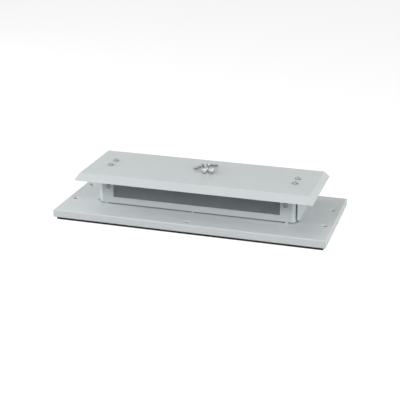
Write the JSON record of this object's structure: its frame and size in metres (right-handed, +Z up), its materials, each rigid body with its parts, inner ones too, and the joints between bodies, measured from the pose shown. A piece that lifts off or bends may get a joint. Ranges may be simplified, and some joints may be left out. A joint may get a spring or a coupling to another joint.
{
  "type": "ventilated enclosure top plate",
  "caption": "Folded sheet-metal top plate for an enclosure, with a raised hood over long mesh vents, a foam seal under its rim and loose fixing screws lying on the hood.",
  "frame": {"origin": "middle of the seal's underside, at the part's lowest level", "axes": "+X along the width to the right, +Y from the front to the rear, +Z up"},
  "size_m": [0.8, 0.35, 0.147],
  "materials": {
    "powder_coat": "semi-gloss light grey powder coat",
    "vent_mesh": "fine dull steel mesh",
    "filter_mat": "dark grey fibre mat",
    "seal_foam": "matte black closed-cell foam",
    "zinc_plating": "bright zinc plating"
  },
  "bodies": {
    "root": {"base_plate": "powder_coat", "base_seal": "seal_foam", "left_end_bracket": "powder_coat", "right_end_bracket": "powder_coat", "front_vent_panel": "powder_coat", "rear_vent_panel": "powder_coat", "front_mesh": "vent_mesh", "rear_mesh": "vent_mesh", "front_filter_mat": "filter_mat", "rear_filter_mat": "filter_mat", "front_clamp_frame": "powder_coat", "rear_clamp_frame": "powder_coat", "front_frame_nuts": "zinc_plating", "rear_frame_nuts": "zinc_plating", "front_panel_screws": "zinc_plating", "rear_panel_screws": "zinc_plating", "front_panel_nuts": "zinc_plating", "rear_panel_nuts": "zinc_plating", "hood": "powder_coat", "hood_screws": "zinc_plating", "hood_washers": "zinc_plating", "hood_nuts": "zinc_plating", "fixing_screws": "zinc_plating"}
  },
  "joints": []
}
